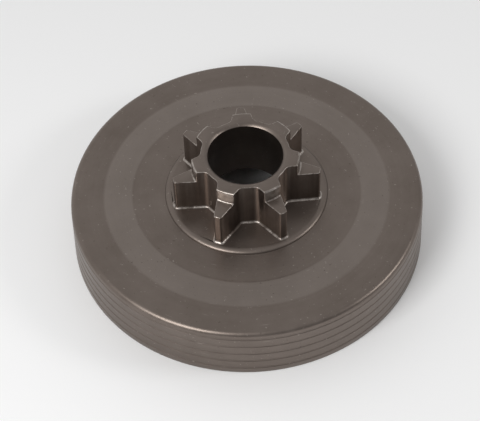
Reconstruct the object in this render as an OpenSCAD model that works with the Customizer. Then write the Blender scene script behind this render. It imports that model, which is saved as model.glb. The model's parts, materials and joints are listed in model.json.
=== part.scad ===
// Clutch drum of a chainsaw with its seven tooth chain sprocket, turned and cut as one piece of steel.
// The origin is the middle of the open rim, on the surface that the drum stands on. +Z is up.

/* [Drum] */
// Radius of the drum wall where it meets the face
drum_r = 38; // [32:0.5:45]
// Height from the open rim to the flat face
drum_h = 13; // [11:0.5:20]
// Extra radius of the wall at the open rim
wall_flare = 0.4; // [0:0.1:1]
// Thickness of the drum wall
wall_t = 3; // [2:0.25:4]
// Thickness of the face
face_t = 2.5; // [1.5:0.25:4]
// Radius of the outer edge between face and wall
edge_r = 1.2; // [0.5:0.1:1.5]
// Radius of the inner corner under the face
inner_corner_r = 1.5; // [0.5:0.1:2.5]

/* [Wall grooves] */
// Number of grooves turned into the wall
groove_count = 5; // [1:1:5]
// Distance from one groove to the next
groove_pitch = 2.4; // [1.5:0.1:2.4]
// Depth of the first groove below the face
first_groove_drop = 1.6; // [1.6:0.1:1.9]
// Radius of a groove's round section
groove_r = 0.45; // [0.3:0.05:0.6]
// Depth of a groove
groove_depth = 0.15; // [0.05:0.05:0.25]

/* [Flange] */
// Radius of the low flange under the teeth
flange_r = 17.6; // [16.5:0.1:20]
// Height of the flange above the face
flange_h = 0.7; // [0.3:0.1:1.5]
// Width of the flange's rounded edge
flange_edge_w = 1.3; // [0.5:0.1:1.5]

/* [Sprocket] */
// Number of teeth
tooth_count = 7; // [6:1:8]
// Direction of the first tooth, in degrees from +X
first_tooth_angle = -113.5; // [-180:0.5:180]
// Radius at the tooth tips
tip_r = 15.9; // [14.5:0.1:16.5]
// Radius at the bottom of the gaps
root_r = 9.45; // [9.2:0.05:9.8]
// Width of a tooth where the step stands on it
tooth_w = 3.75; // [3:0.05:4.2]
// Slope of a tooth's flanks, in degrees
flank_angle = 14; // [10:0.5:16]
// Radius of the fillet between a flank and the root
root_fillet_r = 1.6; // [0.5:0.1:2]
// Radius of the tooth tip's two edges
tip_edge_r = 0.4; // [0.2:0.05:0.5]
// Height of the tooth tops above the face
tooth_h = 9; // [7:0.25:11]
// Height of the collar above the face
collar_h = 12; // [11.5:0.25:14]
// Radius to which the collar is turned down
collar_r = 11.5; // [11:0.1:12.5]
// Chamfer on the collar's outer edge
collar_chamfer = 0.35; // [0.1:0.05:0.6]
// Fillet between the collar and the tooth tops
collar_fillet_r = 0.35; // [0.1:0.05:0.6]

/* [Bore] */
// Radius of the bearing bore
bore_r = 8; // [7:0.1:8.2]
// Width of the bore's chamfers
bore_chamfer_w = 0.7; // [0.2:0.1:0.9]
// Depth of the bore's chamfers
bore_chamfer_h = 0.4; // [0.2:0.1:0.9]

/* [Hidden] */
steel = "#6a625d";
overlap = 0.01;
$fn = 120;

face_z = drum_h;
top_z = face_z + collar_h;
tooth_z = face_z + tooth_h;
wall_foot_r = drum_r + wall_flare;
wall_top_z = face_z - edge_r;
cavity_r = drum_r - wall_t;
cavity_h = face_z - face_t;

// The flank line meets the tooth's own axis at this radius.
flank_apex = collar_r + tooth_w / 2 / tan(flank_angle);

// Centre of the root fillet, as a radius and an angle from the tooth's axis. It bites a little into the root.
root_bite = 0.03;
fillet_orbit = root_r + root_fillet_r - root_bite;
fillet_angle = asin((root_fillet_r + flank_apex * sin(flank_angle)) / fillet_orbit) - flank_angle;

// Centre of the tip's edge round, tangent to the flank and to the flat of the tip.
tip_edge_x = tip_r - tip_edge_r;
tip_edge_y = ((flank_apex - tip_edge_x) * sin(flank_angle) - tip_edge_r) / cos(flank_angle);

function on_circle(radius, angle) = [radius * cos(angle), radius * sin(angle)];
function wall_radius_at(z) = drum_r + wall_flare * (1 - z / wall_top_z);
function mirrored(points) = [for (i = [len(points) - 1:-1:0]) [points[i][0], -points[i][1]]];

// Where the fillet and the tip round touch the flank.
flank_normal = on_circle(1, 90 - flank_angle);
fillet_centre = on_circle(fillet_orbit, fillet_angle);
flank_start = fillet_centre - root_fillet_r * flank_normal;
flank_end = [tip_edge_x, tip_edge_y] + tip_edge_r * flank_normal;
tip_start = [tip_r, tip_edge_y];

// Section of the cup, from the axis out to the wall.
module drum_section() {
    difference() {
        union() {
            polygon([[0, 0], [wall_foot_r, 0], [drum_r, wall_top_z], [0, wall_top_z]]);
            square([drum_r - edge_r, face_z]);
            translate([drum_r - edge_r, wall_top_z]) circle(edge_r);
        }
        cavity_section();
        wall_grooves();
    }
}

// Room for the clutch shoes, open at the bottom.
module cavity_section() {
    translate([-overlap, -overlap]) square([cavity_r + overlap, cavity_h - inner_corner_r + overlap]);
    translate([-overlap, -overlap]) square([cavity_r - inner_corner_r + overlap, cavity_h + overlap]);
    translate([cavity_r - inner_corner_r, cavity_h - inner_corner_r]) circle(inner_corner_r);
}

module wall_grooves() {
    for (i = [0:groove_count - 1]) {
        groove_z = face_z - first_groove_drop - i * groove_pitch;
        translate([wall_radius_at(groove_z) + groove_r - groove_depth, groove_z]) circle(groove_r, $fn = 32);
    }
}

// Low flange whose edge falls to the face in a quarter of an ellipse.
module flange_section() {
    edge = [for (t = [0:15:90]) [flange_r - flange_edge_w * (1 - cos(t)), flange_h * sin(t)]];
    polygon(concat([[0, -overlap], [flange_r, -overlap]], edge, [[0, flange_h]]));
}

// One tooth on the +X axis: straight flanks and a flat tip with two rounded edges.
module tooth_outline() {
    half = [fillet_centre, flank_start, flank_end, tip_start];
    polygon(concat([[0, 0]], half, mirrored(half)));
    for (side = [-1, 1]) translate([tip_edge_x, side * tip_edge_y]) circle(tip_edge_r, $fn = 32);
}

// The two rounds that hollow the feet of one tooth.
module tooth_fillets() {
    for (side = [-1, 1]) translate([fillet_centre[0], side * fillet_centre[1]]) circle(root_fillet_r);
}

module star_outline() {
    difference() {
        union() {
            circle(root_r);
            each_tooth() tooth_outline();
        }
        each_tooth() tooth_fillets();
    }
}

module each_tooth() {
    for (i = [0:tooth_count - 1]) rotate(first_tooth_angle + i * 360 / tooth_count) children();
}

// What the lathe leaves of the toothed bar: tooth tops, fillet, collar and its chamfer.
module turned_section() {
    difference() {
        union() {
            square([tip_r + 1, tooth_z]);
            translate([0, tooth_z - overlap]) square([collar_r + collar_fillet_r, collar_fillet_r + overlap]);
            polygon([[0, tooth_z], [collar_r, tooth_z], [collar_r, top_z - collar_chamfer],
                [collar_r - collar_chamfer, top_z], [0, top_z]]);
        }
        translate([collar_r + collar_fillet_r, tooth_z + collar_fillet_r]) circle(collar_fillet_r, $fn = 32);
    }
}

module toothed_hub() {
    intersection() {
        translate([0, 0, face_z - overlap]) linear_extrude(collar_h + overlap) star_outline();
        rotate_extrude() turned_section();
    }
}

// Through bore with a chamfer at each end.
module bore() {
    mouth_r = bore_r + bore_chamfer_w;
    translate([0, 0, cavity_h - 1]) cylinder(r = bore_r, h = top_z - cavity_h + 2);
    translate([0, 0, top_z - bore_chamfer_h]) cylinder(r1 = bore_r, r2 = mouth_r, h = bore_chamfer_h);
    translate([0, 0, top_z]) cylinder(r = mouth_r, h = 1);
    translate([0, 0, cavity_h]) cylinder(r1 = mouth_r, r2 = bore_r, h = bore_chamfer_h);
    translate([0, 0, cavity_h - 1]) cylinder(r = mouth_r, h = 1);
}

module drum_sprocket() {
    color(steel) difference() {
        union() {
            rotate_extrude() drum_section();
            translate([0, 0, face_z]) rotate_extrude() flange_section();
            toothed_hub();
        }
        bore();
    }
}

drum_sprocket();
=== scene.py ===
"""Looks of a chainsaw clutch drum with its seven tooth sprocket: one piece of dark, worn steel."""
import json
import math

import bmesh
import bpy
from mathutils import Matrix, Vector


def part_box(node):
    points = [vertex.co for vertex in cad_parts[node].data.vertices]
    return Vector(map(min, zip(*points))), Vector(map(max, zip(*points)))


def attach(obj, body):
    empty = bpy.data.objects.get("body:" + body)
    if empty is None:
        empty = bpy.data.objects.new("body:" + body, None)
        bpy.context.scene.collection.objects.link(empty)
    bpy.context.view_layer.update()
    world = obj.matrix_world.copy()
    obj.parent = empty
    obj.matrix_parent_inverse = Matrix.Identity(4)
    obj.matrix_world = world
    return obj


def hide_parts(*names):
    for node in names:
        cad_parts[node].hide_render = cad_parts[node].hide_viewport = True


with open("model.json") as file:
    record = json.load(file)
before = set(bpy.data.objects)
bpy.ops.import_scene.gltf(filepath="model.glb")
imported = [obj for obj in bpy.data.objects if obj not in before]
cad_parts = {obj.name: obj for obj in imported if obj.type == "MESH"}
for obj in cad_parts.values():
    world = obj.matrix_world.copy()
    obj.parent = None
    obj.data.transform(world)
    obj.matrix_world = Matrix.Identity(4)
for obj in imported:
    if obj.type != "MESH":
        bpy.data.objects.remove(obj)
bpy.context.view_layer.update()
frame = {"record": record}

# Sizes in millimetres. The outer ones come from the frame, the rest repeat the part's source.
MM = 0.001
NODE = "drum_sprocket"
low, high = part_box(NODE)
TOP_Z = high[2] / MM
FOOT_R = high[0] / MM
COLLAR_H = 12.0
FACE_Z = TOP_Z - COLLAR_H
WALL_FLARE = 0.4
DRUM_R = FOOT_R - WALL_FLARE
WALL_T = 3.0
FACE_T = 2.5
EDGE_R = 1.2
INNER_CORNER_R = 1.5
GROOVE_COUNT = 5
GROOVE_PITCH = 2.4
FIRST_GROOVE_DROP = 1.6
GROOVE_R = 0.45
GROOVE_DEPTH = 0.15
FLANGE_R = 17.6
FLANGE_H = 0.7
FLANGE_EDGE_W = 1.3
TEETH = 7
FIRST_TOOTH = math.radians(-113.5)
TIP_R = 15.9
ROOT_R = 9.45
TOOTH_W = 3.75
FLANK = math.radians(14)
ROOT_FILLET_R = 1.6
TIP_EDGE_R = 0.4
TOOTH_Z = FACE_Z + 9.0
COLLAR_R = 11.5
BORE_R = frame["record"]["mounts"][0]["dims"]["r_mm"]
CHAMFER_W = 0.7
CHAMFER_H = 0.4

# How finely the steel is meshed
SECTOR_STEPS = 60
RING_STEPS = TEETH * SECTOR_STEPS
SECTOR = 2 * math.pi / TEETH
FLANGE_FLAT_R = FLANGE_R - FLANGE_EDGE_W
FLANGE_TOP_Z = FACE_Z + FLANGE_H

# Widths of the small rounds, as shares of the widest one
ROUND_W = 0.45
SHARE_COLLAR = 0.75
SHARE_LEDGE = 0.75
SHARE_FOOT = 1.0
SHARE_TOOTH = 0.25
SHARE_CORNER = 0.2

# Places of the materials on the body
TURNED, CUT, EDGE, STEP = range(4)


def polar(radius, angle):
    return (radius * math.cos(angle), radius * math.sin(angle))


def arc(centre, radius, start, end, steps):
    """Points on an arc, both ends included."""
    cx, cy = centre
    angles = [start + (end - start) * i / steps for i in range(steps + 1)]
    return [(cx + radius * math.cos(a), cy + radius * math.sin(a)) for a in angles]


def straight(a, b, steps):
    """Points between a and b, without the two ends."""
    return [(a[0] + (b[0] - a[0]) * i / steps, a[1] + (b[1] - a[1]) * i / steps) for i in range(1, steps)]


def tooth_half():
    """Outline from the middle of a gap to the middle of the tooth on +X, split at the collar's radius."""
    apex = COLLAR_R + TOOTH_W / 2 / math.tan(FLANK)
    orbit = ROOT_R + ROOT_FILLET_R
    turn = math.asin((ROOT_FILLET_R + apex * math.sin(FLANK)) / orbit) - FLANK
    tip_x = TIP_R - TIP_EDGE_R
    tip_y = ((apex - tip_x) * math.sin(FLANK) - TIP_EDGE_R) / math.cos(FLANK)

    root = arc((0, 0), ROOT_R, -SECTOR / 2, -turn, 8)
    fillet = arc(polar(orbit, -turn), ROOT_FILLET_R, math.pi - turn, math.pi / 2 + FLANK, 8)
    cut_x = (apex * math.sin(FLANK) ** 2 + math.cos(FLANK) * math.sqrt(
        COLLAR_R ** 2 - (apex * math.sin(FLANK)) ** 2))
    cut = (cut_x, -(apex - cut_x) * math.tan(FLANK))
    edge = arc((tip_x, -tip_y), TIP_EDGE_R, -math.pi / 2 + FLANK, 0, 5)

    inner = root + fillet[1:] + straight(fillet[-1], cut, 3) + [cut]
    outer = straight(cut, edge[0], 12) + edge + [(TIP_R, 0.0)]
    return inner, outer


def drum_profile():
    """Section from the bore's upper mouth round the underside and the wall to the flat of the flange."""
    cavity_r = DRUM_R - WALL_T
    cavity_z = FACE_Z - FACE_T
    mouth_r = BORE_R + CHAMFER_W
    wall_top_z = FACE_Z - EDGE_R
    lip = 0.3

    def wall_r(z):
        return DRUM_R + WALL_FLARE * (1 - z / wall_top_z)

    points = [(mouth_r, TOP_Z), (mouth_r - 0.08, TOP_Z - 0.02)]
    points += [(BORE_R + 0.06, TOP_Z - CHAMFER_H + 0.02), (BORE_R, TOP_Z - CHAMFER_H - 0.05)]
    points += straight((BORE_R, TOP_Z - CHAMFER_H), (BORE_R, cavity_z + CHAMFER_H), 8)
    points += [(BORE_R, cavity_z + CHAMFER_H), (mouth_r, cavity_z)]
    points += straight((mouth_r, cavity_z), (cavity_r - INNER_CORNER_R, cavity_z), 8)
    corner = (cavity_r - INNER_CORNER_R, cavity_z - INNER_CORNER_R)
    points += arc(corner, INNER_CORNER_R, math.pi / 2, 0, 6)
    points += [(cavity_r, lip), (cavity_r + lip * 0.3, lip * 0.3), (cavity_r + lip, 0)]
    points += [(FOOT_R - lip, 0), (FOOT_R - lip * 0.3, lip * 0.3), (wall_r(lip), lip)]

    half_w = math.sqrt(GROOVE_R ** 2 - (GROOVE_R - GROOVE_DEPTH) ** 2)
    for i in reversed(range(GROOVE_COUNT)):
        z = FACE_Z - FIRST_GROOVE_DROP - i * GROOVE_PITCH
        reach = math.asin(half_w / GROOVE_R)
        centre = (wall_r(z) + GROOVE_R - GROOVE_DEPTH, z)
        points += arc(centre, GROOVE_R, math.pi + reach, math.pi - reach, 6)

    points += arc((DRUM_R - EDGE_R, wall_top_z), EDGE_R, 0, math.pi / 2, 10)
    points += face_profile()
    edge = arc((0, 0), 1.0, 0, math.pi / 2, 8)
    points += [(FLANGE_R - FLANGE_EDGE_W * (1 - x), FACE_Z + FLANGE_H * y) for x, y in edge]
    return points


def face_profile():
    """The face from the rim in to the flange, with the shallow marks that the lathe left."""
    marks = [(34.5, 0.0), (31.1, 0.0), (30.9, -0.02), (30.7, -0.02), (30.5, 0.0), (27.5, 0.0),
             (25.0, 0.0), (24.85, 0.0), (24.6, -0.05), (24.3, -0.06), (21.0, -0.05), (18.4, -0.04)]
    return [(r, FACE_Z + z) for r, z in marks]


def add_ring_strips(mesh, rings):
    for inner, outer in zip(rings, rings[1:]):
        for i in range(RING_STEPS):
            j = (i + 1) % RING_STEPS
            mesh.faces.new((inner[i], inner[j], outer[j], outer[i]))


def add_drum(mesh, start):
    """Revolves the section, and returns the ring at the bore's mouth and the ring on the flange."""
    rings = []
    for r, z in drum_profile():
        ring = [polar(r, start + 2 * math.pi * i / RING_STEPS) for i in range(RING_STEPS)]
        rings.append([mesh.verts.new((x, y, z)) for x, y in ring])
    add_ring_strips(mesh, rings)
    return rings[0], rings[-1]


def turned(points, angle):
    c, s = math.cos(angle), math.sin(angle)
    return [(x * c - y * s, x * s + y * c) for x, y in points]


def column(mesh, point, heights):
    return [mesh.verts.new((point[0], point[1], z)) for z in heights]


def share_edges(mesh, layer, verts, share, closed=False):
    """Marks the edges along a row of points for rounding."""
    pairs = list(zip(verts, verts[1:])) + ([(verts[-1], verts[0])] if closed else [])
    for a, b in pairs:
        edge = mesh.edges.get((a, b))
        edge[layer] = max(edge[layer], share)


def add_wall(mesh, columns, material):
    """Upright faces between neighbouring columns of two points."""
    for a, b in zip(columns, columns[1:]):
        mesh.faces.new((a[0], b[0], b[1], a[1])).material_index = material


def add_sprocket(mesh, mouth, flange):
    """Seven teeth and the collar, joined to the bore's mouth and to the flange."""
    layer = mesh.edges.layers.float.new("bevel_weight_edge")
    inner, outer = tooth_half()
    mirror = [(x, -y) for x, y in reversed(inner)], [(x, -y) for x, y in reversed(outer[:-1])]
    lobe_half = math.atan2(abs(inner[-1][1]), inner[-1][0])
    lobe = arc((0, 0), COLLAR_R, -lobe_half, lobe_half, 8)[1:-1]
    heights = (FLANGE_TOP_Z, TOOTH_Z, TOP_Z)

    # Columns of points on the outline, tooth by tooth. Neighbours share the column in the middle of a gap.
    sectors = []
    for t in range(TEETH):
        angle = FIRST_TOOTH + t * SECTOR
        left = [column(mesh, p, (heights[0], heights[2])) for p in turned(inner[:-1], angle)]
        cut_left = column(mesh, turned(inner[-1:], angle)[0], heights)
        tip = [column(mesh, p, heights[:2]) for p in turned(outer + mirror[1], angle)]
        cut_right = column(mesh, turned(mirror[0][:1], angle)[0], heights)
        right = [column(mesh, p, (heights[0], heights[2])) for p in turned(mirror[0][1:-1], angle)]
        arcs = [column(mesh, p, heights[1:]) for p in turned(lobe, angle)]
        sectors.append((left, cut_left, tip, cut_right, right, arcs))

    for t, (left, cut_left, tip, cut_right, right, arcs) in enumerate(sectors):
        following = sectors[(t + 1) % TEETH][0][0]
        right = right + [following]
        rim = [cut_left[:2]] + tip + [cut_right[:2]]
        step = [cut_left[1:]] + arcs + [cut_right[1:]]
        last, first = left[-1], right[0]
        add_wall(mesh, left, CUT)
        mesh.faces.new((last[0], cut_left[0], cut_left[1], cut_left[2], last[1])).material_index = CUT
        add_wall(mesh, rim, CUT)
        mesh.faces.new((cut_right[0], first[0], first[1], cut_right[2], cut_right[1])).material_index = CUT
        add_wall(mesh, right, CUT)
        add_wall(mesh, step, STEP)
        mesh.faces.new([c[1] for c in rim] + [c[0] for c in reversed(arcs)])

        top = [c[1] for c in left] + [c[1] for c in step] + [c[1] for c in right]
        base = [c[0] for c in left] + [c[0] for c in rim] + [c[0] for c in right]
        first_i = t * SECTOR_STEPS
        span = [(first_i + i) % RING_STEPS for i in range(SECTOR_STEPS + 1)]
        mesh.faces.new(top + [mouth[i] for i in reversed(span)])
        mesh.faces.new([flange[i] for i in span] + list(reversed(base)))

        share_edges(mesh, layer, base, SHARE_FOOT)
        share_edges(mesh, layer, [c[1] for c in rim], SHARE_TOOTH)
        share_edges(mesh, layer, [c[0] for c in step], SHARE_LEDGE)
        share_edges(mesh, layer, [c[1] for c in left] + [cut_left[2]], SHARE_TOOTH)
        share_edges(mesh, layer, [cut_right[2]] + [c[1] for c in right], SHARE_TOOTH)
        share_edges(mesh, layer, [c[1] for c in step], SHARE_COLLAR)
        share_edges(mesh, layer, cut_left[1:], SHARE_CORNER)
        share_edges(mesh, layer, cut_right[1:], SHARE_CORNER)


def make_body():
    mesh = bmesh.new()
    mouth, flange = add_drum(mesh, FIRST_TOOTH - SECTOR / 2)
    add_sprocket(mesh, mouth, flange)
    bmesh.ops.recalc_face_normals(mesh, faces=mesh.faces)
    bmesh.ops.scale(mesh, vec=(MM, MM, MM), verts=mesh.verts)
    data = bpy.data.meshes.new("drum_body")
    mesh.to_mesh(data)
    mesh.free()
    body = bpy.data.objects.new("drum_body", data)
    bpy.context.collection.objects.link(body)
    return body


def round_edges(body):
    """Rounds the marked edges of the sprocket, and smooths everything but true corners."""
    bevel = body.modifiers.new("small_rounds", "BEVEL")
    bevel.limit_method = "WEIGHT"
    bevel.width = ROUND_W * MM
    bevel.segments = 3
    bevel.use_clamp_overlap = False
    bevel.material = EDGE
    bpy.context.view_layer.objects.active = body
    body.select_set(True)
    bpy.ops.object.modifier_apply(modifier=bevel.name)
    bpy.ops.object.shade_smooth_by_angle(angle=math.radians(32))


class Shader:
    """A small helper that adds nodes to one material and links them."""

    def __init__(self, name, metallic):
        self.material = bpy.data.materials.new(name)
        self.material.use_nodes = True
        self.tree = self.material.node_tree
        self.principled = self.tree.nodes["Principled BSDF"]
        self.principled.inputs["Metallic"].default_value = metallic

    def put(self, socket, source):
        """Feeds a socket from another node's output, or sets it."""
        if isinstance(source, bpy.types.NodeSocket):
            self.tree.links.new(source, socket)
        else:
            socket.default_value = source

    def math(self, operation, *values):
        node = self.tree.nodes.new("ShaderNodeMath")
        node.operation = operation
        for socket, source in zip(node.inputs, values):
            self.put(socket, source)
        return node.outputs[0]

    def noise(self, place, scale, detail=3.0, roughness=0.5):
        node = self.tree.nodes.new("ShaderNodeTexNoise")
        self.put(node.inputs["Vector"], place)
        node.inputs["Scale"].default_value = scale
        node.inputs["Detail"].default_value = detail
        node.inputs["Roughness"].default_value = roughness
        return node.outputs["Fac"]

    def remap(self, source, low_in, high_in, low_out, high_out):
        node = self.tree.nodes.new("ShaderNodeMapRange")
        for socket, item in zip(node.inputs, (source, low_in, high_in, low_out, high_out)):
            self.put(socket, item)
        return node.outputs["Result"]

    def blend(self, factor, first, second, mode="MIX"):
        node = self.tree.nodes.new("ShaderNodeMix")
        node.data_type = "RGBA"
        node.blend_type = mode
        self.put(node.inputs["Factor"], factor)
        self.put(node.inputs[6], first)
        self.put(node.inputs[7], second)
        return node.outputs[2]

    def combine(self, x, y, z):
        node = self.tree.nodes.new("ShaderNodeCombineXYZ")
        for socket, source in zip(node.inputs, (x, y, z)):
            self.put(socket, source)
        return node.outputs[0]

    def place(self):
        """The point in metres, split into x, y and z."""
        coord = self.tree.nodes.new("ShaderNodeTexCoord").outputs["Object"]
        split = self.tree.nodes.new("ShaderNodeSeparateXYZ")
        self.put(split.inputs[0], coord)
        return coord, split.outputs

    def bump(self, height, strength, distance, after=None):
        node = self.tree.nodes.new("ShaderNodeBump")
        node.inputs["Strength"].default_value = strength
        node.inputs["Distance"].default_value = distance
        self.put(node.inputs["Height"], height)
        if after is not None:
            self.put(node.inputs["Normal"], after)
        return node.outputs["Normal"]

    def finish(self, colour, roughness, normal):
        self.put(self.principled.inputs["Base Color"], colour)
        self.put(self.principled.inputs["Roughness"], roughness)
        self.put(self.principled.inputs["Normal"], normal)
        return self.material


STEEL_DARK = (0.168, 0.138, 0.119, 1)
STEEL_LIGHT = (0.222, 0.186, 0.164, 1)
# Lighter steel: real bare steel in specks, scratches and worn edges, and also a painted highlight on the edge rounds
# and the step and a painted sheen on the face's middle ring.
STEEL_BARE_AND_HIGHLIGHT = (0.46, 0.415, 0.38, 1)
STEEL_OILY = (0.10, 0.082, 0.068, 1)


def turned_steel():
    """Dark satin steel off the lathe: fine rings, faint smudges, specks and zones of tone; the middle ring of the
    face is painted lighter as a sheen.
    """
    s = Shader("turned_steel", 1.0)
    coord, (x, y, z) = s.place()
    radius = s.math("SQRT", s.math("ADD", s.math("MULTIPLY", x, x), s.math("MULTIPLY", y, y)))
    along = s.math("ADD", radius, z)
    angle = s.math("ARCTAN2", y, x)

    smudge = s.noise(coord, 70.0, 6.0, 0.6)
    blotch = s.noise(coord, 260.0, 5.0, 0.6)
    rings = s.noise(s.combine(s.math("MULTIPLY", along, 1500.0), s.math("MULTIPLY", angle, 0.35), 0.0), 1.0, 3.0)
    wide_rings = s.noise(s.combine(s.math("MULTIPLY", along, 260.0), s.math("MULTIPLY", angle, 0.2), 4.0), 1.0, 2.0)
    specks = s.noise(coord, 1500.0, 2.0, 0.6)
    streak_place = s.combine(s.math("MULTIPLY", along, 2600.0), s.math("MULTIPLY", angle, 9.0), 0.0)
    streaks = s.noise(streak_place, 1.0, 2.0)

    tone = s.math("ADD", s.math("MULTIPLY", smudge, 0.45), s.math("MULTIPLY", blotch, 0.25))
    tone = s.math("ADD", tone, s.math("MULTIPLY", wide_rings, 0.2))
    tone = s.math("ADD", tone, s.math("MULTIPLY", rings, 0.1))
    colour = s.blend(s.remap(tone, 0.35, 0.65, 0.0, 1.0), STEEL_DARK, STEEL_LIGHT)
    # Painted sheen: the face between 24.5 and 31 mm is mixed towards the lighter steel, standing in for that ring's
    # different reflection.
    painted_sheen_ring = s.math("MULTIPLY", s.remap(radius, 0.0245, 0.0249, 0.0, 1.0), s.remap(radius, 0.0305, 0.0311, 1.0, 0.0))
    colour = s.blend(s.math("MULTIPLY", painted_sheen_ring, 0.16), colour, STEEL_BARE_AND_HIGHLIGHT)
    colour = s.blend(s.remap(specks, 0.69, 0.74, 0.0, 0.5), colour, STEEL_BARE_AND_HIGHLIGHT)
    colour = s.blend(s.remap(specks, 0.30, 0.26, 0.0, 0.6), colour, STEEL_OILY)
    colour = s.blend(s.remap(streaks, 0.70, 0.78, 0.0, 0.35), colour, STEEL_BARE_AND_HIGHLIGHT)

    roughness = s.remap(s.math("ADD", s.math("MULTIPLY", smudge, 0.6), s.math("MULTIPLY", blotch, 0.4)), 0.35, 0.65, 0.33, 0.44)
    height = s.math("ADD", rings, s.math("MULTIPLY", streaks, 0.6))
    normal = s.bump(height, 0.5, 0.00002, s.bump(specks, 0.35, 0.00003))
    return s.finish(colour, roughness, normal)


def cut_steel():
    """Tooth flanks and gaps: upright marks of the cutter, darker in places with old oil."""
    s = Shader("cut_steel", 1.0)
    coord, (x, y, z) = s.place()
    streak_place = s.combine(s.math("MULTIPLY", x, 900.0), s.math("MULTIPLY", y, 900.0), s.math("MULTIPLY", z, 40.0))
    streaks = s.noise(streak_place, 1.0, 4.0, 0.6)
    blotch = s.noise(coord, 300.0, 5.0, 0.6)
    tone = s.math("ADD", s.math("MULTIPLY", streaks, 0.6), s.math("MULTIPLY", blotch, 0.4))
    colour = s.blend(s.remap(tone, 0.38, 0.62, 0.0, 1.0), STEEL_DARK, STEEL_LIGHT)
    roughness = s.remap(streaks, 0.3, 0.7, 0.30, 0.42)
    normal = s.bump(streaks, 0.5, 0.00004, s.bump(blotch, 0.3, 0.00005))
    return s.finish(colour, roughness, normal)


def bare_edge():
    """Small rounds and burrs, partly rubbed bright and partly a painted highlight, brightened in beads."""
    s = Shader("bare_edge", 1.0)
    coord = s.place()[0]
    beads = s.noise(coord, 1100.0, 3.0, 0.65)
    wear_and_highlight = s.noise(coord, 240.0, 3.0)
    shine = s.math("ADD", s.math("MULTIPLY", beads, 0.6), s.math("MULTIPLY", wear_and_highlight, 0.4))
    # Partly real rubbed steel, partly a painted highlight that brightens the edge lines.
    colour = s.blend(s.remap(shine, 0.40, 0.58, 0.0, 1.0), STEEL_LIGHT, STEEL_BARE_AND_HIGHLIGHT)
    roughness = s.remap(beads, 0.3, 0.7, 0.24, 0.40)
    return s.finish(colour, roughness, s.bump(beads, 0.6, 0.00008))


def bare_step():
    """The step that the lathe cut into the teeth: clean bright steel, made brighter still by a painted highlight."""
    s = Shader("bare_step", 1.0)
    coord, (x, y, z) = s.place()
    rings = s.noise(s.combine(0.0, 0.0, s.math("MULTIPLY", z, 3000.0)), 1.0, 3.0)
    wear_and_highlight = s.noise(coord, 500.0, 4.0, 0.6)
    # Partly real bright machined steel, partly a painted highlight standing in for the strong reflection on the
    # step.
    colour = s.blend(s.remap(wear_and_highlight, 0.35, 0.6, 0.0, 1.0), STEEL_LIGHT, STEEL_BARE_AND_HIGHLIGHT)
    return s.finish(colour, s.remap(wear_and_highlight, 0.3, 0.7, 0.25, 0.38), s.bump(rings, 0.4, 0.00003))


def make_floor():
    bpy.ops.mesh.primitive_plane_add(size=3.0, location=(0, 0, 0))
    floor = bpy.context.object
    floor.name = "floor"
    material = bpy.data.materials.new("floor_white")
    material.use_nodes = True
    shader = material.node_tree.nodes["Principled BSDF"]
    shader.inputs["Base Color"].default_value = (0.95, 0.95, 0.95, 1)
    shader.inputs["Roughness"].default_value = 0.8
    floor.data.materials.append(material)


def make_camera():
    """The camera that fits the photo's circles, in drum radii from the middle of the face."""
    tilt = math.radians(51.108)
    roll = math.radians(2.243)
    distance = 8.7612
    side, rise = 0.0368, 0.1177
    focal_px = 1541.05
    photo_w = 480

    right = Vector((1, 0, 0))
    up = Vector((0, math.sin(tilt), math.cos(tilt)))
    ahead = Vector((0, math.cos(tilt), -math.sin(tilt)))
    image_right = right * math.cos(roll) - up * math.sin(roll)
    image_up = right * math.sin(roll) + up * math.cos(roll)
    radius = DRUM_R * MM
    place = (image_right * -side + image_up * -rise - ahead * distance) * radius
    place += Vector((0, 0, FACE_Z * MM))

    lens = bpy.data.cameras.new("photo_camera")
    lens.sensor_width = 36.0
    lens.sensor_fit = "HORIZONTAL"
    lens.lens = focal_px / photo_w * lens.sensor_width
    lens.clip_start = 0.01
    camera = bpy.data.objects.new("photo_camera", lens)
    turn = Matrix((image_right, image_up, -ahead)).transposed()
    camera.matrix_world = Matrix.Translation(place) @ turn.to_4x4()
    bpy.context.collection.objects.link(camera)
    bpy.context.scene.camera = camera


def from_part(azimuth, elevation, distance):
    """A place seen from the part: azimuth 0 is the camera's side, and positive is to its right."""
    a, e = math.radians(azimuth), math.radians(elevation)
    across = distance * math.cos(e)
    return (across * math.sin(a), -across * math.cos(a), distance * math.sin(e))


def softbox(name, place, size, power):
    """A square lamp that faces the part."""
    lamp = bpy.data.lights.new(name, "AREA")
    lamp.size = size
    lamp.energy = power
    holder = bpy.data.objects.new(name, lamp)
    aim = Vector((0, 0, 0.01)) - Vector(place)
    holder.matrix_world = Matrix.Translation(place) @ aim.to_track_quat("-Z", "Y").to_matrix().to_4x4()
    bpy.context.collection.objects.link(holder)


def make_world():
    """A soft grey room, lighter behind the part and to its left."""
    world = bpy.data.worlds.new("studio")
    world.use_nodes = True
    nodes, links = world.node_tree.nodes, world.node_tree.links
    coord = nodes.new("ShaderNodeTexCoord")
    lean = nodes.new("ShaderNodeVectorMath")
    lean.operation = "DOT_PRODUCT"
    lean.inputs[1].default_value = (-0.5, 0.85, 0.1)
    links.new(coord.outputs["Generated"], lean.inputs[0])
    level = nodes.new("ShaderNodeMath")
    level.operation = "MULTIPLY_ADD"
    level.inputs[1].default_value = 0.28
    level.inputs[2].default_value = 0.48
    links.new(lean.outputs["Value"], level.inputs[0])
    links.new(level.outputs[0], nodes["Background"].inputs["Strength"])
    nodes["Background"].inputs["Color"].default_value = (1, 1, 1, 1)
    bpy.context.scene.world = world


body = make_body()
for material in (turned_steel(), cut_steel(), bare_edge(), bare_step()):
    body.data.materials.append(material)
round_edges(body)
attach(body, "root")
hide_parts(NODE)
make_floor()
make_camera()
make_world()
softbox("key_left", from_part(-42, 43, 0.45), 0.20, 1.0)
softbox("key_right", from_part(83, 35, 0.45), 0.11, 0.30)
bpy.context.scene.view_settings.view_transform = "Standard"
